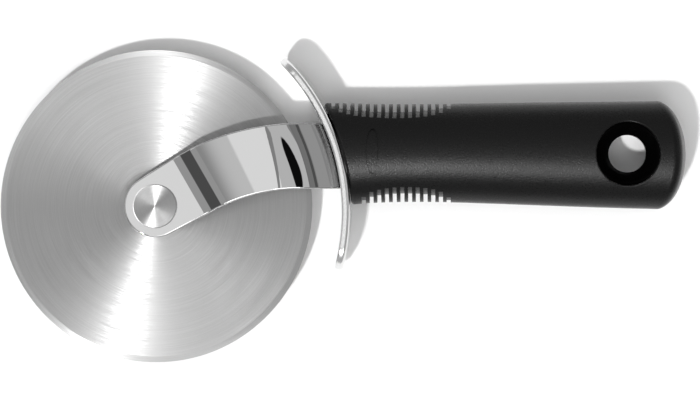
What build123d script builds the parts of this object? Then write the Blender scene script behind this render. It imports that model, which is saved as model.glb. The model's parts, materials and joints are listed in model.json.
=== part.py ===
from build123d import *
from math import atan, cos, degrees, radians, sin, sqrt
import os

# Pizza cutter lying on its side, in millimetres. While building, the axle stands at x 0, y 0,
# the blade's mid-plane is z 0, and the handle runs towards +x.

# Blade
wheel_radius = 50.8
blade_thickness = 0.8
bevel_width = 1.8
cutting_edge_thickness = 0.16
blade_bore_radius = 6.0

# Hub and axle
bush_flange_radius = 8.5
bush_flange_thickness = 1.85
axle_radius = 3.0
running_clearance = 0.05
axial_play = 0.15
washer_radius = 7.8
washer_thickness = 0.6
cap_radius = 7.15
cap_thickness = 1.6
cap_edge = 0.3
cap_dome = 0.15
screw_radius = 1.5
screw_grip_length = 5.0
fit_clearance = 0.03
socket_across_flats = 3.0
socket_depth = 1.0

# Fork, one strap folded round the blade
strap_thickness = 2.0
strap_width = 21.3
boss_radius = 10.1
arm_angle = 30.0
arm_straight = 13.8
arm_bow_radius = 70.0
joggle_start = 12.6
joggle_run = 8.4
joggle_rise = 3.0
joggle_first_radius = 8.6
crown_bow_radius = 60.0
crown_bow_angle = 18.0
fold_radius = 3.0
strap_edge_round = 0.5

# Thumb guard
rim_to_guard = 7.42
guard_lean = 15.5
guard_inner_radius = 67.6
guard_thickness = 2.6
guard_width = 20.0
guard_upper_length = 35.71
guard_lower_length = 36.98
guard_corner_radius = 7.5
guard_inner_edge_round = 0.6
guard_outer_edge_round = 1.1

# Tang
neck_width = 9.0
neck_thickness = 3.4
peened_width = 12.0
peened_height = 1.2
tang_width = 15.0
tang_thickness = 5.0
tang_length = 78.0
tang_end_radius = 4.0
tang_hole_radius = 2.5
tang_hole_spacing = 30.0

# Handle
handle_length = 111.17
handle_rise = 0.7
grip_width = 35.0
grip_thickness = 22.8
grip_gap = 0.3
grip_root_round = 1.0
grip_end_round = 3.2
grip_side_wall = 3.4
grip_face_wall = 2.4
grip_end_wall = 4.0
end_length = 10.3
end_drop = 0.45
end_side_bulge = 0.15
end_face_bulge = 6.6

# Sections of the grip: place along the handle, centre's rise, width and thickness
section_shares = [
    (-0.10, -0.030, 1.010, 0.890),
    (0.12, 0.006, 0.914, 0.950),
    (0.30, 0.007, 0.913, 0.980),
    (0.48, 0.002, 0.939, 0.995),
    (0.66, -0.005, 0.967, 1.000),
    (0.84, -0.011, 0.991, 1.000),
    (1.02, -0.016, 1.006, 0.985),
]

# Finger fins, cut as slots in the grip's two narrow sides; the first slots lie beside the guard
slot_pitch = 2.5
slot_width = 1.35
slot_lead = 3.08
slot_count = 16
slot_floor_half_thickness = 14.5
upper_fin_reach = 16.25
upper_slot_depth = 2.7
upper_slots_middle = 15.67
upper_slots_half_length = 19.5
lower_fin_reach = 15.75
lower_slot_depth = 2.9
lower_slots_middle = 20.67
lower_slots_half_length = 14.2

# Hanging hole
hole_from_end = 19.0
hole_radius = 6.05
hole_wall_length = 4.6
hole_funnel_width = 4.25
hole_funnel_depth = 6.45
hole_mouth_round = 0.3

# Bare oval groove on the grip's front face
badge_from_guard = 9.93
badge_rise = 0.8
badge_half_width = 2.3
badge_half_length = 7.3
badge_groove_width = 0.7
badge_groove_depth = 0.5

overrun = 2.0

# Sizes that follow
half_blade = blade_thickness / 2
arm_inner_z = half_blade + bush_flange_thickness + axial_play + washer_thickness
arm_outer_z = arm_inner_z + strap_thickness
crown_outer_z = arm_outer_z + joggle_rise
arm_bow_x = arm_straight * cos(radians(arm_angle)) + arm_bow_radius * sin(radians(arm_angle))
arm_end_y = (
    arm_straight * sin(radians(arm_angle))
    + arm_bow_radius * (1 - cos(radians(arm_angle)))
)
guard_outer_radius = guard_inner_radius + guard_thickness
guard_center_x = wheel_radius + rim_to_guard - guard_inner_radius * cos(radians(guard_lean))
guard_center_y = arm_end_y - guard_inner_radius * sin(radians(guard_lean))
handle_y = arm_end_y + handle_rise
handle_root_x = guard_center_x + sqrt(
    guard_outer_radius ** 2 - (handle_y - guard_center_y) ** 2
)
handle_end_x = handle_root_x + handle_length
end_half_width = grip_width / 2 + end_side_bulge
end_half_thickness = grip_thickness / 2 + end_face_bulge
hole_x = handle_end_x - hole_from_end
funnel_mouth_radius = hole_radius + hole_funnel_width
funnel_mouth_z = hole_wall_length / 2 + hole_funnel_depth


def turned(points):
    """Solid turned about the z axis from a closed outline of (radius, height) points."""
    outline = Plane.XZ * Polyline(*points, close=True)
    return revolve(make_face(outline), axis=Axis.Z)


def tube(inner_radius, outer_radius, low, high):
    return turned([
        (inner_radius, low),
        (outer_radius, low),
        (outer_radius, high),
        (inner_radius, high),
    ])


def swung(face, low_angle, high_angle):
    """Face drawn as (radius, height) from the guard's centre line, swung round that line."""
    swing = revolve(face, axis=Axis.Z, revolution_arc=high_angle - low_angle)
    return Pos(guard_center_x, guard_center_y, 0) * Rot(0, 0, low_angle) * swing


def swung_block(inner_radius, outer_radius, low_angle, high_angle, half_height):
    corners = [
        (inner_radius, -half_height),
        (outer_radius, -half_height),
        (outer_radius, half_height),
        (inner_radius, half_height),
    ]
    face = make_face(Plane.XZ * Polyline(*corners, close=True))
    return swung(face, low_angle, high_angle)


def strip_side(start, moves, offset):
    """One side of a strip's section; a move is a straight length or a bend radius and degrees."""
    heading = 0.0
    point = Vector(start[0], start[1] + offset)
    edges = []
    for straight, bend_radius, bend_angle in moves:
        direction = Vector(cos(radians(heading)), sin(radians(heading)))
        if bend_radius:
            inward = offset if bend_angle > 0 else -offset
            edge = JernArc(point, direction, bend_radius - inward, bend_angle)
            heading += bend_angle
        else:
            edge = Line(point, point + direction * straight)
        edges.append(edge)
        point = edge @ 1
    return edges


def strip(start, moves, thickness):
    """Section of a strip of even thickness whose middle starts at a point and heads along +x."""
    upper = strip_side(start, moves, thickness / 2)
    lower = strip_side(start, moves, -thickness / 2)
    first_end = Line(upper[0] @ 0, lower[0] @ 0)
    last_end = Line(upper[-1] @ 1, lower[-1] @ 1)
    return make_face(upper + lower + [first_end, last_end])


def make_blade():
    rim = cutting_edge_thickness / 2
    bevel_start = wheel_radius - bevel_width
    return turned([
        (blade_bore_radius, -half_blade),
        (bevel_start, -half_blade),
        (wheel_radius, -rim),
        (wheel_radius, rim),
        (bevel_start, half_blade),
        (blade_bore_radius, half_blade),
    ])


def make_front_bush():
    """Flanged bush whose spigot fills its half of the blade's bore."""
    bore = axle_radius + running_clearance
    top = half_blade + bush_flange_thickness
    return turned([
        (bore, 0),
        (blade_bore_radius, 0),
        (blade_bore_radius, half_blade),
        (bush_flange_radius, half_blade),
        (bush_flange_radius, top),
        (bore, top),
    ])


def make_front_washer():
    bore = axle_radius + running_clearance
    return tube(bore, washer_radius, arm_inner_z - washer_thickness, arm_inner_z)


def cap_points(post_radius):
    """Outline of a round head that sits on an arm, from its post to its slightly domed middle."""
    top = arm_outer_z + cap_thickness
    return [
        (post_radius, arm_outer_z),
        (cap_radius, arm_outer_z),
        (cap_radius, top - cap_dome - cap_edge),
        (cap_radius - cap_edge, top - cap_dome),
        (0, top),
    ]


def make_axle_barrel():
    """Front head and post, with a blind tapped bore that the screw enters from behind."""
    foot = -arm_inner_z
    barrel = turned([(0, foot), (axle_radius, foot)] + cap_points(axle_radius))
    bore_radius = screw_radius + fit_clearance
    bore_top = foot + screw_grip_length + axial_play
    return barrel - tube(0, bore_radius, foot - overrun, bore_top)


def make_axle_screw():
    """Rear head with a hexagon socket, and the screw that runs up into the barrel."""
    tip = arm_inner_z - screw_grip_length
    screw = turned([(0, tip), (screw_radius, tip)] + cap_points(screw_radius))
    hexagon = RegularPolygon(socket_across_flats / 2, 6, major_radius=False)
    socket_floor = arm_outer_z + cap_thickness - socket_depth
    socket = Pos(0, 0, socket_floor) * extrude(hexagon, socket_depth + overrun)
    return mirror(screw - socket, about=Plane.XY)


def fork_plan():
    """Outline of the strap seen along the axle, run on past the guard so that the fold trims it."""
    along = Vector(cos(radians(arm_angle)), sin(radians(arm_angle)))
    across = Vector(-along.Y, along.X)
    half_width = strap_width / 2
    boss_low = across * -boss_radius
    boss_high = across * boss_radius
    bow_start = along * arm_straight
    low_bow = JernArc(bow_start - across * half_width, along, arm_bow_radius - half_width, -arm_angle)
    high_bow = JernArc(bow_start + across * half_width, along, arm_bow_radius + half_width, -arm_angle)
    far_x = guard_center_x + guard_outer_radius + overrun
    far_low = Vector(far_x, (low_bow @ 1).Y)
    far_high = Vector(far_x, (high_bow @ 1).Y)
    return make_face([
        ThreePointArc(boss_high, along * -boss_radius, boss_low),
        Line(boss_low, low_bow @ 0),
        low_bow,
        Line(low_bow @ 1, far_low),
        Line(far_low, far_high),
        Line(far_high, high_bow @ 1),
        high_bow,
        Line(high_bow @ 0, boss_high),
    ])


def joggled_arm():
    """Front arm as a prism: flat at the boss, stepped outward, then flat at the crown's height."""
    slope = 2 * degrees(atan(joggle_rise / joggle_run))
    second_radius = joggle_run / sin(radians(slope)) - joggle_first_radius
    lead = boss_radius + overrun
    section = strip(
        (-lead, arm_inner_z + strap_thickness / 2),
        [
            (lead + joggle_start, 0, 0),
            (0, joggle_first_radius, slope),
            (0, second_radius, -slope),
            (strap_width / 2, 0, 0),
        ],
        strap_thickness,
    )
    along = Vector(cos(radians(arm_angle)), sin(radians(arm_angle)), 0)
    plane = Plane(origin=(0, 0, 0), x_dir=along, z_dir=along.cross(Vector(0, 0, 1)))
    return extrude(plane * section, strap_width, both=True)


def folded_crown(first_radius):
    """Front arm's outer stretch and its half of the fold, swung round the guard's centre."""
    first_turn = radians(crown_bow_angle)
    outer_bow = crown_bow_radius + strap_thickness / 2
    outer_fold = fold_radius + strap_thickness / 2
    run = outer_bow * sin(first_turn) + outer_fold * (1 - sin(first_turn))
    drop = outer_bow * (1 - cos(first_turn)) + outer_fold * cos(first_turn)
    section = strip(
        (first_radius, crown_outer_z - strap_thickness / 2),
        [
            (guard_inner_radius - run - first_radius, 0, 0),
            (0, crown_bow_radius, -crown_bow_angle),
            (0, fold_radius, crown_bow_angle - 90),
            (crown_outer_z - drop, 0, 0),
        ],
        strap_thickness,
    )
    return swung(Plane.XZ * section, 0, 2 * arm_angle)


def seat_block(inner_radius, outer_radius, width, half_height):
    """Block curved like the guard, on the line where the strap's middle meets the guard."""
    half_angle = degrees(width / 2 / guard_inner_radius)
    return swung_block(
        inner_radius,
        outer_radius,
        guard_lean - half_angle,
        guard_lean + half_angle,
        half_height,
    )


def neck_hole():
    return seat_block(
        guard_inner_radius - strap_thickness - overrun,
        guard_outer_radius + overrun,
        neck_width,
        neck_thickness / 2,
    )


def is_cut_side(face):
    """True for the strap's narrow sides: upright faces that don't follow the guard's curve."""
    normal = face.normal_at()
    place = face.center()
    outward = Vector(place.X - guard_center_x, place.Y - guard_center_y, 0).normalized()
    return abs(normal.Z) < 0.01 and abs(normal.dot(outward)) < 0.99


def strap_edges(form):
    """Edges where the narrow sides meet the broad faces, not those between two narrow sides."""
    edges = [edge for face in form.faces() if is_cut_side(face) for edge in face.edges()]
    edges = [edge for edge in edges if edge.bounding_box().max.Z > strap_edge_round]
    places = [tuple(round(value, 3) for value in edge.center()) for edge in edges]
    return [edge for edge, place in zip(edges, places) if places.count(place) == 1]


def make_fork():
    """Front half of the strap, rounded along its edges, and its mirror image joined to it."""
    along = Vector(cos(radians(arm_angle)), sin(radians(arm_angle)))
    across = Vector(-along.Y, along.X)
    joggle_corner = along * (joggle_start + joggle_run) - across * (strap_width / 2)
    to_corner = joggle_corner - Vector(guard_center_x, guard_center_y)
    half = joggled_arm() + folded_crown(to_corner.length + strap_thickness)
    half = half & extrude(fork_plan(), crown_outer_z + overrun, both=True)
    half = fillet(strap_edges(half), strap_edge_round)
    form = half + mirror(half, about=Plane.XY)
    barrel_hole = tube(0, axle_radius + fit_clearance, 0, arm_outer_z + overrun)
    screw_hole = tube(0, screw_radius + fit_clearance, -arm_outer_z - overrun, 0)
    return form - barrel_hole - screw_hole - neck_hole()


def curved_face(plate, radius):
    """The guard's face that lies at a radius from its centre line."""
    center = Vector(guard_center_x, guard_center_y, 0)
    return min(
        plate.faces(),
        key=lambda face: abs((face.position_at(0.5, 0.5) - center).length - radius),
    )


def make_thumb_guard():
    """Curved plate with round corners, whose convex face has the rounder rim."""
    plate = swung_block(
        guard_inner_radius,
        guard_outer_radius,
        guard_lean - degrees(guard_lower_length / guard_inner_radius),
        guard_lean + degrees(guard_upper_length / guard_inner_radius),
        guard_width / 2,
    )
    corners = [
        edge
        for edge in plate.edges().filter_by(GeomType.LINE)
        if edge.length < guard_width / 2
    ]
    plate = fillet(corners, guard_corner_radius)
    plate = fillet(curved_face(plate, guard_outer_radius).edges(), guard_outer_edge_round)
    plate = fillet(curved_face(plate, guard_inner_radius).edges(), guard_inner_edge_round)
    return plate - neck_hole()


def make_tang():
    """Peened head, neck through the fork and the guard, and the bar in the handle."""
    fork_inside = guard_inner_radius - strap_thickness
    head = seat_block(
        fork_inside - peened_height, fork_inside, peened_width, neck_thickness / 2
    )
    neck = seat_block(
        fork_inside - peened_height, guard_outer_radius + neck_thickness, neck_width, neck_thickness / 2
    )
    bar_x = handle_root_x - tang_width / 2
    bar_length = tang_length + tang_width / 2
    bar = Pos(bar_x + bar_length / 2, handle_y, 0) * Box(bar_length, tang_width, tang_thickness)
    bar = fillet(bar.edges().filter_by(Axis.Z).sort_by(Axis.X)[-2:], tang_end_radius)
    bar = bar - guard_room(0)
    tang = head + neck + bar
    for share in (-0.5, 0.5):
        hole_center = bar_x + bar_length / 2 + share * tang_hole_spacing
        tang = tang - Pos(hole_center, handle_y, 0) * Cylinder(tang_hole_radius, tang_thickness + overrun)
    return tang


def guard_room(gap):
    """Everything on the guard's side of its convex face, and a gap beyond it."""
    radius = guard_outer_radius + gap
    return Pos(guard_center_x, guard_center_y, 0) * Cylinder(radius, grip_thickness + overrun)


def handle_form(side_wall, face_wall, end_wall, gap):
    """Oval body of the handle, sunk below its surface by the walls, and closed at both ends."""
    sections = []
    for along_share, rise_share, width_share, thickness_share in section_shares:
        center = (
            handle_root_x + along_share * handle_length,
            handle_y + rise_share * grip_width,
            0,
        )
        plane = Plane(origin=center, x_dir=(0, 1, 0), z_dir=(1, 0, 0))
        sections.append(plane * Ellipse(
            width_share * grip_width / 2 - side_wall,
            thickness_share * grip_thickness / 2 - face_wall,
        ))
    body = loft(sections)
    dome_x = handle_end_x - end_wall - end_length
    dome = Pos(dome_x, handle_y - end_drop, 0) * scale(
        Sphere(end_length),
        by=(1, end_half_width / end_length, end_half_thickness / end_length),
    )
    room_length = dome_x - guard_center_x
    room = Pos(dome_x - room_length / 2, handle_y, 0) * Box(
        room_length, 2 * grip_width, 2 * grip_thickness
    )
    return (body & (room + dome)) - guard_room(gap)


def hanging_funnel():
    """Bore with a conical mouth on each face, as a solid to cut away."""
    throat = hole_wall_length / 2
    reach = grip_thickness
    return Pos(hole_x, handle_y, 0) * turned([
        (0, -reach),
        (funnel_mouth_radius, -reach),
        (funnel_mouth_radius, -funnel_mouth_z),
        (hole_radius, -throat),
        (hole_radius, throat),
        (funnel_mouth_radius, funnel_mouth_z),
        (funnel_mouth_radius, reach),
        (0, reach),
    ])


def make_core():
    core = handle_form(grip_side_wall, grip_face_wall, grip_end_wall, 0)
    return core - make_tang() - hanging_funnel()


def slot_cutters(side, fin_reach, depth, middle, half_length):
    """Slots between the fins of one narrow side, their floors following a long lens."""
    cutters = []
    for index in range(slot_count):
        along = index * slot_pitch - slot_lead
        share = (along - middle) / half_length
        if abs(share) >= 1:
            continue
        floor = fin_reach - depth * sqrt(1 - share ** 2)
        origin = (handle_root_x + along, handle_y, 0)
        plane = Plane(origin=origin, x_dir=(0, 1, 0), z_dir=(1, 0, 0))
        reach = fin_reach + overrun
        region = Pos(side * reach / 2, 0) * Rectangle(reach, grip_thickness + overrun)
        region = region - Ellipse(floor, slot_floor_half_thickness)
        cutters.append(extrude(plane * region, slot_width / 2, both=True))
    return cutters


def badge_groove():
    """Oval groove that follows the front face, as a solid to cut away."""
    half_length = badge_half_length
    half_width = badge_half_width
    ring = Ellipse(half_width, half_length) - Ellipse(
        half_width - badge_groove_width, half_length - badge_groove_width
    )
    prism = Pos(handle_root_x + badge_from_guard, handle_y + badge_rise, 0) * extrude(
        ring, grip_thickness
    )
    return prism - handle_form(badge_groove_depth, badge_groove_depth, 0, 0)


def rims_round_handle(form):
    """Edges that run round the handle, from its root to its end."""
    edges = [edge for edge in form.edges() if edge.bounding_box().size.Z > grip_side_wall]
    return sorted(edges, key=lambda edge: edge.bounding_box().max.X)


def hole_mouth_rims(form):
    """Edges where the hanging hole opens in the two faces."""
    reach = funnel_mouth_radius + hole_mouth_round
    boxes = [(edge, edge.bounding_box()) for edge in form.edges()]
    return [
        edge
        for edge, box in boxes
        if box.min.X > hole_x - reach and box.max.X < hole_x + reach and box.size.X > hole_radius
    ]


def make_grip():
    """Rubber cover with rounded rims, finger slots, the bare badge and room for the core."""
    grip = handle_form(0, 0, 0, grip_gap)
    grip = fillet(rims_round_handle(grip)[-1], grip_end_round)
    grip = fillet(rims_round_handle(grip)[0], grip_root_round)
    grip = grip - Pos(hole_x, handle_y, 0) * Cylinder(funnel_mouth_radius, 2 * grip_thickness)
    grip = fillet(hole_mouth_rims(grip), hole_mouth_round)
    upper_slots = slot_cutters(
        1, upper_fin_reach, upper_slot_depth, upper_slots_middle, upper_slots_half_length
    )
    lower_slots = slot_cutters(
        -1, lower_fin_reach, lower_slot_depth, lower_slots_middle, lower_slots_half_length
    )
    room_for_core = handle_form(grip_side_wall, grip_face_wall, grip_end_wall, 0)
    return grip - (upper_slots + lower_slots) - [badge_groove(), room_for_core]


def save(shape, name):
    """Move a piece from the axle's frame to the resting frame and write it."""
    overall_length = wheel_radius + handle_end_x
    shift_x = wheel_radius - overall_length / 2
    placed = Pos(shift_x, 0, grip_thickness / 2) * shape
    export_step(placed, "parts/" + name + ".step")


os.makedirs("parts", exist_ok=True)
save(make_blade(), "blade")
save(make_front_bush(), "front_hub_bush")
save(mirror(make_front_bush(), about=Plane.XY), "rear_hub_bush")
save(make_front_washer(), "front_thrust_washer")
save(mirror(make_front_washer(), about=Plane.XY), "rear_thrust_washer")
save(make_axle_barrel(), "axle_barrel")
save(make_axle_screw(), "axle_screw")
save(make_fork(), "fork")
save(make_thumb_guard(), "thumb_guard")
save(make_tang(), "tang")
save(make_core(), "handle_core")
save(make_grip(), "grip")
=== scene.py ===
"""Pizza cutter lying on a white table, seen from straight above.

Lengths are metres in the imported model's frame: +x along the handle, +z along the axle.
"""

import json
from math import cos, radians, sin

import bpy
import numpy as np
from mathutils import Matrix, Vector

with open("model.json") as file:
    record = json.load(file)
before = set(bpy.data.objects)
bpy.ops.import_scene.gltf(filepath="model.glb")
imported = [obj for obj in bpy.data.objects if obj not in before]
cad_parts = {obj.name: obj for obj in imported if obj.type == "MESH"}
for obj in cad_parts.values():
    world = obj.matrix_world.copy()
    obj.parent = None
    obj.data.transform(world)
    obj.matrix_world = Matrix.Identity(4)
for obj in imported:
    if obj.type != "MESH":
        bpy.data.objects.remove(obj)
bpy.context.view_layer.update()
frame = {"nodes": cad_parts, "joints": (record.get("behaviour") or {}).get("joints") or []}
nodes = frame["nodes"]

AXLE = Vector(frame["joints"][0]["pos_m"])
MM = 0.001

# The photograph's width in metres, from the pixels across the picture and the blade's radius in it
PHOTO_PIXELS = 700
BLADE_RADIUS_MM = 50.8
BLADE_RADIUS_PIXELS = 156.28
PHOTO_WIDTH = PHOTO_PIXELS * BLADE_RADIUS_MM * MM / BLADE_RADIUS_PIXELS

# The photograph's middle lies along the handle and slightly across from the axle
PHOTO_CENTRE = AXLE + Vector((63.08, 2.0, 0.0)) * MM
CAMERA_DISTANCE = 1.2
SENSOR_WIDTH_MM = 36.0

# The cutter rests on the guard's edge and the handle's belly, so the blade's end lies lower
TABLE_UP = Vector((0.028, 0.004, 1.0)).normalized()
TABLE_ACROSS = TABLE_UP.cross(Vector((1, 0, 0))).normalized()
TABLE_ALONG = TABLE_ACROSS.cross(TABLE_UP)
TABLE_HALF_SIZE = 6.0
TABLE_LINES = 9

# The key lamp stands at the lower left; its apparent width sets how soft the shadow's edge is
KEY_AZIMUTH = radians(237)
KEY_ELEVATION = radians(61)
KEY_WIDTH = radians(3.8)
KEY_STRENGTH = 1.92


def linear(colour):
    """Linear red, green, blue and alpha of an sRGB hex colour."""
    shares = [int(colour[i : i + 2], 16) / 255 for i in (1, 3, 5)]
    return [s / 12.92 if s <= 0.04045 else ((s + 0.055) / 1.055) ** 2.4 for s in shares] + [1.0]


def add(tree, kind, inputs=None, **settings):
    """Adds a node with its settings; an input is a value or the output that it is linked to."""
    node = tree.nodes.new(kind)
    for name, value in settings.items():
        setattr(node, name, value)
    for name, value in (inputs or {}).items():
        if isinstance(value, bpy.types.NodeSocket):
            tree.links.new(value, node.inputs[name])
        else:
            node.inputs[name].default_value = value
    return node


def empty_tree(owner):
    """The owner's node tree, switched on and cleared."""
    owner.use_nodes = True
    owner.node_tree.nodes.clear()
    return owner.node_tree


def turned_steel(name, colour, ring, smoothest, roughest, turn, wander):
    """Stainless steel faced on a lathe: fine rings round the axle, so light spreads along radii.

    ring is the rings' spacing, smoothest and roughest the strokes' roughness, turn the angle of
    the strokes to a true circle in degrees, and wander how far single strokes stray from it,
    which frays the edges of the bright bow-tie. Real rings are too fine to show, so ring is
    nearly a pixel of the picture.

    A layer of strokes is noise read at the direction from the axle times its breaks to a
    radian, with the radius divided by the strokes' spacing as the depth, so a stroke is long
    round the axle and thin across. Tone and straying follow the rings. Gloss has several
    strokes to a ring, each nearly all smooth or all rough, which gives a narrow bow-tie on an
    evenly bright disc.
    """
    strokes_per_ring = 7
    # Spacing, breaks and noise detail of each layer of strokes
    tone_strokes = (ring, 1.1, 3.0)
    stray_strokes = (ring, 4.0, 2.0)
    gloss_strokes = (ring / strokes_per_ring, 1.1, 2.0)
    material = bpy.data.materials.new(name)
    tree = empty_tree(material)
    place = add(tree, "ShaderNodeTexCoord").outputs["Object"]
    arm = add(tree, "ShaderNodeVectorMath", {0: place, 1: AXLE}, operation="SUBTRACT")
    flat = add(
        tree, "ShaderNodeVectorMath", {0: arm.outputs[0], 1: (1, 1, 0)}, operation="MULTIPLY"
    )
    radius = add(tree, "ShaderNodeVectorMath", {0: flat.outputs[0]}, operation="LENGTH")
    outward = add(tree, "ShaderNodeVectorMath", {0: flat.outputs[0]}, operation="NORMALIZE")
    around = add(
        tree,
        "ShaderNodeVectorMath",
        {0: (0, 0, 1), 1: outward.outputs[0]},
        operation="CROSS_PRODUCT",
    )
    noises = []
    for spacing, breaks, detail in (tone_strokes, stray_strokes, gloss_strokes):
        step = add(
            tree,
            "ShaderNodeMath",
            {0: radius.outputs["Value"], 1: 1 / spacing},
            operation="MULTIPLY",
        )
        depth = add(tree, "ShaderNodeCombineXYZ", {"Z": step.outputs[0]})
        turned = add(
            tree,
            "ShaderNodeVectorMath",
            {0: outward.outputs[0], 1: (breaks, breaks, 0), 2: depth.outputs[0]},
            operation="MULTIPLY_ADD",
        )
        noise = add(
            tree,
            "ShaderNodeTexNoise",
            {"Vector": turned.outputs[0], "Scale": 1.0, "Detail": detail, "Roughness": 0.6},
        )
        noises.append(noise.outputs["Fac"])
    tone_noise, stray_noise, gloss_noise = noises

    stray = add(
        tree,
        "ShaderNodeMapRange",
        {
            "Value": stray_noise,
            "From Min": 0.25,
            "From Max": 0.75,
            "To Min": -wander,
            "To Max": wander,
        },
    )
    sideways = add(
        tree,
        "ShaderNodeVectorMath",
        {0: around.outputs[0], "Scale": stray.outputs[0]},
        operation="SCALE",
    )
    radial = add(
        tree,
        "ShaderNodeVectorMath",
        {0: outward.outputs[0], 1: sideways.outputs[0]},
        operation="ADD",
    )
    tangent = add(
        tree,
        "ShaderNodeVectorTransform",
        {0: radial.outputs[0]},
        vector_type="VECTOR",
        convert_from="OBJECT",
        convert_to="WORLD",
    )
    shade = add(
        tree,
        "ShaderNodeMapRange",
        {
            "Value": tone_noise,
            "From Min": 0.3,
            "From Max": 0.7,
            "To Min": 0.93,
            "To Max": 1.05,
        },
    )
    tone = add(
        tree,
        "ShaderNodeVectorMath",
        {0: linear(colour)[:3], "Scale": shade.outputs[0]},
        operation="SCALE",
    )
    gloss = add(
        tree,
        "ShaderNodeMapRange",
        {
            "Value": gloss_noise,
            "From Min": 0.42,
            "From Max": 0.54,
            "To Min": smoothest,
            "To Max": roughest,
        },
    )
    surface = add(
        tree,
        "ShaderNodeBsdfPrincipled",
        {
            "Base Color": tone.outputs[0],
            "Metallic": 1.0,
            "Roughness": gloss.outputs[0],
            "Anisotropic": 1.0,
            "Anisotropic Rotation": turn / 360,
            "Tangent": tangent.outputs[0],
        },
    )
    add(tree, "ShaderNodeOutputMaterial", {"Surface": surface.outputs[0]})
    return material


def polished_steel(name, colour, roughness, mottle, mottle_size):
    """Polished stainless steel, whose roughness rises by up to mottle in faint buffing clouds."""
    material = bpy.data.materials.new(name)
    tree = empty_tree(material)
    place = add(tree, "ShaderNodeTexCoord").outputs["Object"]
    clouds = add(
        tree,
        "ShaderNodeTexNoise",
        {"Vector": place, "Scale": 1 / mottle_size, "Detail": 4.0, "Roughness": 0.6},
    )
    gloss = add(
        tree,
        "ShaderNodeMapRange",
        {
            "Value": clouds.outputs["Fac"],
            "From Min": 0.35,
            "From Max": 0.7,
            "To Min": roughness,
            "To Max": roughness + mottle,
        },
    )
    surface = add(
        tree,
        "ShaderNodeBsdfPrincipled",
        {"Base Color": linear(colour), "Metallic": 1.0, "Roughness": gloss.outputs[0]},
    )
    add(tree, "ShaderNodeOutputMaterial", {"Surface": surface.outputs[0]})
    return material


def soft_rubber(name, colour, grain, grain_depth, smoothest, roughest):
    """Black thermoplastic rubber from a spark-eroded mould: satin with a fine even grain.

    grain is the pits' spacing and grain_depth how deep they are. A real mould's pits are about
    a fifth of that spacing, too fine for the picture, so they are drawn as coarse as they show.
    """
    material = bpy.data.materials.new(name)
    tree = empty_tree(material)
    place = add(tree, "ShaderNodeTexCoord").outputs["Object"]
    pits = add(
        tree,
        "ShaderNodeTexNoise",
        {"Vector": place, "Scale": 1 / grain, "Detail": 2.0, "Roughness": 0.7},
    )
    bump = add(
        tree,
        "ShaderNodeBump",
        {"Strength": 1.0, "Distance": grain_depth, "Height": pits.outputs["Fac"]},
    )
    gloss = add(
        tree,
        "ShaderNodeMapRange",
        {
            "Value": pits.outputs["Fac"],
            "From Min": 0.3,
            "From Max": 0.7,
            "To Min": smoothest,
            "To Max": roughest,
        },
    )
    surface = add(
        tree,
        "ShaderNodeBsdfPrincipled",
        {
            "Base Color": linear(colour),
            "Roughness": gloss.outputs[0],
            "IOR": 1.45,
            "Specular IOR Level": 0.3,
            "Normal": bump.outputs[0],
        },
    )
    add(tree, "ShaderNodeOutputMaterial", {"Surface": surface.outputs[0]})
    return material


def moulded_plastic(name, colour, roughness, flow):
    """Injection-moulded hard plastic: smooth, with faint flow clouds of size flow in its gloss."""
    material = bpy.data.materials.new(name)
    tree = empty_tree(material)
    place = add(tree, "ShaderNodeTexCoord").outputs["Object"]
    clouds = add(
        tree, "ShaderNodeTexNoise", {"Vector": place, "Scale": 1 / flow, "Detail": 3.0}
    )
    gloss = add(
        tree,
        "ShaderNodeMapRange",
        {
            "Value": clouds.outputs["Fac"],
            "From Min": 0.3,
            "From Max": 0.7,
            "To Min": roughness,
            "To Max": roughness * 1.6,
        },
    )
    surface = add(
        tree,
        "ShaderNodeBsdfPrincipled",
        {"Base Color": linear(colour), "Roughness": gloss.outputs[0], "IOR": 1.49},
    )
    add(tree, "ShaderNodeOutputMaterial", {"Surface": surface.outputs[0]})
    return material


finishes = {
    # Faced on a lathe with a fine tool: a white bow-tie across a disc of thin grey rings
    "blade": turned_steel("turned_blade_steel", "#C2C2C2", 0.26 * MM, 0.33, 0.80, -12.0, 0.014),
    # Turned more evenly, as small heads are: the same bow-tie, cleaner, on closer rings
    "axle": turned_steel("turned_axle_steel", "#C8C8C8", 0.22 * MM, 0.39, 0.45, -15.0, 0.03),
    # Buffed strip: a near mirror, so the studio shows in it as sharp light and dark bands
    "fork": polished_steel("polished_fork_steel", "#C8C8C8", 0.004, 0.008, 3 * MM),
    # Tumbled plate: bright but blurred, with a slightly uneven sheen along its edge
    "guard": polished_steel("satin_guard_steel", "#E2E2E2", 0.14, 0.12, 1.2 * MM),
    # Bar as it left the mill: dull, cloudy grey
    "tang": polished_steel("mill_tang_steel", "#B9B9B9", 0.35, 0.15, 0.8 * MM),
    # Soft overmould: deep black with one broad soft highlight that sparkles faintly
    "rubber": soft_rubber(
        "grip_thermoplastic_rubber", "#070707", 0.5 * MM, 0.06 * MM, 0.25, 0.34
    ),
    # Hard plastic from a polished mould: wet-looking black with small sharp highlights
    "core": moulded_plastic("gloss_core_plastic", "#040404", 0.06, 5 * MM),
    # Acetal bearing pieces: milky white with a waxy, half-dull surface
    "hub": moulded_plastic("acetal_hub_plastic", "#E4E2DC", 0.3, 2 * MM),
}
node_finishes = {
    "blade": "blade",
    "axle_barrel": "axle",
    "axle_screw": "axle",
    "fork": "fork",
    "thumb_guard": "guard",
    "tang": "tang",
    "grip": "rubber",
    "handle_core": "core",
    "front_hub_bush": "hub",
    "rear_hub_bush": "hub",
    "front_thrust_washer": "hub",
    "rear_thrust_washer": "hub",
}
for node, finish in node_finishes.items():
    for slot in nodes[node].material_slots:
        slot.material = finishes[finish]


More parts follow.
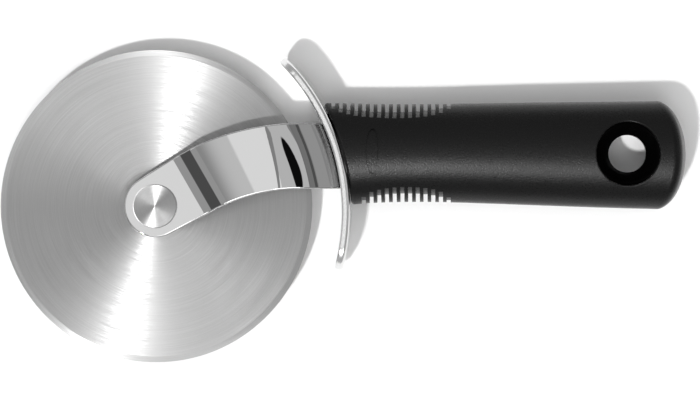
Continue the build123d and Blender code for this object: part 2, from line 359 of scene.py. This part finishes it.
def table_top(half_size, lines):
    """Flat grid square to TABLE_UP, through the lowest point of the cutter along it."""
    undersides = ("grip", "thumb_guard", "fork")
    points = np.vstack([
        np.array([v.co for v in nodes[name].data.vertices]) for name in undersides
    ])
    drop = (points @ np.array(TABLE_UP)).min()
    steps = np.linspace(-half_size, half_size, lines)
    u, v = np.meshgrid(steps, steps)
    along, across, up = (np.array(axis) for axis in (TABLE_ALONG, TABLE_ACROSS, TABLE_UP))
    grid = (u[..., None] * along + v[..., None] * across + drop * up).reshape(-1, 3)
    index = np.arange(lines * lines).reshape(lines, lines)
    faces = np.stack(
        [index[:-1, :-1], index[1:, :-1], index[1:, 1:], index[:-1, 1:]], axis=-1
    ).reshape(-1, 4)
    mesh = bpy.data.meshes.new("table_top")
    mesh.from_pydata(grid.tolist(), [], faces.tolist())
    table = bpy.data.objects.new("table_top", mesh)
    bpy.context.scene.collection.objects.link(table)
    return table


def matt_paper(name, colour):
    """Matt white paper: no gloss at all, so it shows nothing but the cutter's shadow."""
    material = bpy.data.materials.new(name)
    tree = empty_tree(material)
    surface = add(
        tree,
        "ShaderNodeBsdfPrincipled",
        {"Base Color": linear(colour), "Roughness": 0.9, "Specular IOR Level": 0.0},
    )
    add(tree, "ShaderNodeOutputMaterial", {"Surface": surface.outputs[0]})
    return material


table = table_top(TABLE_HALF_SIZE, TABLE_LINES)
table.data.materials.append(matt_paper("white_table", "#FFFFFF"))

# Light of the bare room at the horizon and straight overhead
HORIZON_LIGHT = 0.52
OVERHEAD_LIGHT = 0.34

# Panels of the studio: middle, turn in degrees, half size, roundness power, softness, light.
# Each covers those before it. The large ones light the whole cutter, the others are the bands
# that the fork mirrors, from its boss to its fold.
PANELS = [
    ((0.0, 0.28), 90.0, (0.18, 0.17), 3.0, 0.5, 0.52),
    ((0.01, -0.205), -88.0, (0.125, 0.125), 3.0, 0.4, 4.7),
    ((-0.25, -0.02), 8.0, (0.18, 0.22), 3.0, 0.4, 1.32),
    ((0.65, 0.12), 8.0, (0.30, 0.12), 4.0, 0.3, 0.62),
    ((-0.60, -0.32), 28.0, (0.30, 0.14), 4.0, 0.6, 0.11),
    ((-0.20, -0.10), 26.0, (0.176, 0.17), 6.0, 0.3, 0.48),
    ((0.049, 0.034), 30.0, (0.105, 0.08), 8.0, 0.25, 1.12),
    ((0.0998, 0.0077), -40.0, (0.0685, 0.09), 8.0, 0.1, 0.74),
    ((-0.0248, -0.0121), 26.0, (0.0030, 0.20), 8.0, 0.1, 0.40),
    ((-0.0221, -0.0108), 26.0, (0.0030, 0.20), 2.0, 1.0, 0.82),
    ((0.0, 0.0), 26.0, (0.0246, 0.08), 8.0, 0.05, 1.14),
    ((0.027, 0.0275), 50.0, (0.034, 0.0045), 6.0, 0.5, 0.35),
    ((0.109, 0.039), -35.0, (0.031, 0.0215), 2.5, 0.15, 0.006),
    ((0.183, 0.067), 20.0, (0.020, 0.12), 8.0, 0.3, 0.27),
    ((0.166, 0.061), 20.0, (0.004, 0.12), 8.0, 0.5, 0.25),
    ((0.200, 0.0725), 20.0, (0.007, 0.12), 8.0, 0.5, 0.12),
    ((0.241, 0.088), 20.0, (0.032, 0.14), 8.0, 0.2, 0.46),
    ((0.33, 0.20), 30.0, (0.05, 0.07), 4.0, 0.3, 0.03),
]


def light_studio():
    """World light: a dim room with panels overhead, drawn on the sky seen from the table.

    A direction (x, y, z) falls at (x, y) / (1 + z) on that drawing, so straight up is its
    middle and the horizon its unit circle. Each panel is a rounded box or an oval there: with
    x and y as shares of its half size, it is where x^power + y^power stays under one.
    """
    least_rise = 0.05
    world = bpy.data.worlds.new("studio")
    bpy.context.scene.world = world
    tree = empty_tree(world)
    direction = add(tree, "ShaderNodeTexCoord").outputs["Generated"]
    parts = add(tree, "ShaderNodeSeparateXYZ", {0: direction})
    rise = add(tree, "ShaderNodeMath", {0: parts.outputs["Z"], 1: 1.0}, operation="ADD")
    rise = add(tree, "ShaderNodeMath", {0: rise.outputs[0], 1: least_rise}, operation="MAXIMUM")
    share = add(tree, "ShaderNodeMath", {0: 1.0, 1: rise.outputs[0]}, operation="DIVIDE")
    drawing = add(
        tree, "ShaderNodeVectorMath", {0: direction, "Scale": share.outputs[0]}, operation="SCALE"
    )
    drawing = add(
        tree, "ShaderNodeVectorMath", {0: drawing.outputs[0], 1: (1, 1, 0)}, operation="MULTIPLY"
    )
    light = add(
        tree,
        "ShaderNodeMapRange",
        {
            "Value": parts.outputs["Z"],
            "From Min": 0.0,
            "From Max": 1.0,
            "To Min": HORIZON_LIGHT,
            "To Max": OVERHEAD_LIGHT,
        },
    ).outputs[0]
    for centre, turn, half_size, power, softness, level in PANELS:
        local = add(
            tree,
            "ShaderNodeMapping",
            {
                "Vector": drawing.outputs[0],
                "Location": (*centre, 0),
                "Rotation": (0, 0, radians(turn)),
                "Scale": (*half_size, 1),
            },
            vector_type="TEXTURE",
        )
        size = add(tree, "ShaderNodeVectorMath", {0: local.outputs[0]}, operation="ABSOLUTE")
        sides = add(tree, "ShaderNodeSeparateXYZ", {0: size.outputs[0]})
        wide = add(tree, "ShaderNodeMath", {0: sides.outputs["X"], 1: power}, operation="POWER")
        long = add(tree, "ShaderNodeMath", {0: sides.outputs["Y"], 1: power}, operation="POWER")
        both = add(
            tree, "ShaderNodeMath", {0: wide.outputs[0], 1: long.outputs[0]}, operation="ADD"
        )
        inside = add(
            tree,
            "ShaderNodeMapRange",
            {
                "Value": both.outputs[0],
                "From Min": 1 - softness,
                "From Max": 1 + softness,
                "To Min": 1.0,
                "To Max": 0.0,
            },
            interpolation_type="SMOOTHSTEP",
        )
        # A float Mix blends its input 2 into its input 3
        light = add(
            tree, "ShaderNodeMix", {0: inside.outputs[0], 2: light, 3: level}, data_type="FLOAT"
        ).outputs[0]
    shine = add(tree, "ShaderNodeBackground", {"Color": (1, 1, 1, 1), "Strength": light})
    add(tree, "ShaderNodeOutputWorld", {"Surface": shine.outputs[0]})


light_studio()

lamp = bpy.data.lights.new("key_lamp", "SUN")
lamp.energy = KEY_STRENGTH
lamp.angle = KEY_WIDTH
key = bpy.data.objects.new("key_lamp", lamp)
toward = Vector((
    cos(KEY_ELEVATION) * cos(KEY_AZIMUTH),
    cos(KEY_ELEVATION) * sin(KEY_AZIMUTH),
    sin(KEY_ELEVATION),
))
key.rotation_mode = "QUATERNION"
key.rotation_quaternion = toward.to_track_quat("Z", "Y")
bpy.context.scene.collection.objects.link(key)

camera_data = bpy.data.cameras.new("camera")
camera_data.sensor_width = SENSOR_WIDTH_MM
camera_data.lens = SENSOR_WIDTH_MM * CAMERA_DISTANCE / PHOTO_WIDTH
camera_data.clip_start = 0.05
camera_data.clip_end = 50.0
camera = bpy.data.objects.new("camera", camera_data)
camera.location = PHOTO_CENTRE + TABLE_UP * CAMERA_DISTANCE
camera.rotation_mode = "QUATERNION"
camera_axes = Matrix((TABLE_ALONG, TABLE_ACROSS, TABLE_UP)).transposed()
camera.rotation_quaternion = camera_axes.to_quaternion()
bpy.context.scene.collection.objects.link(camera)
bpy.context.scene.camera = camera

bpy.context.scene.view_settings.view_transform = "Standard"
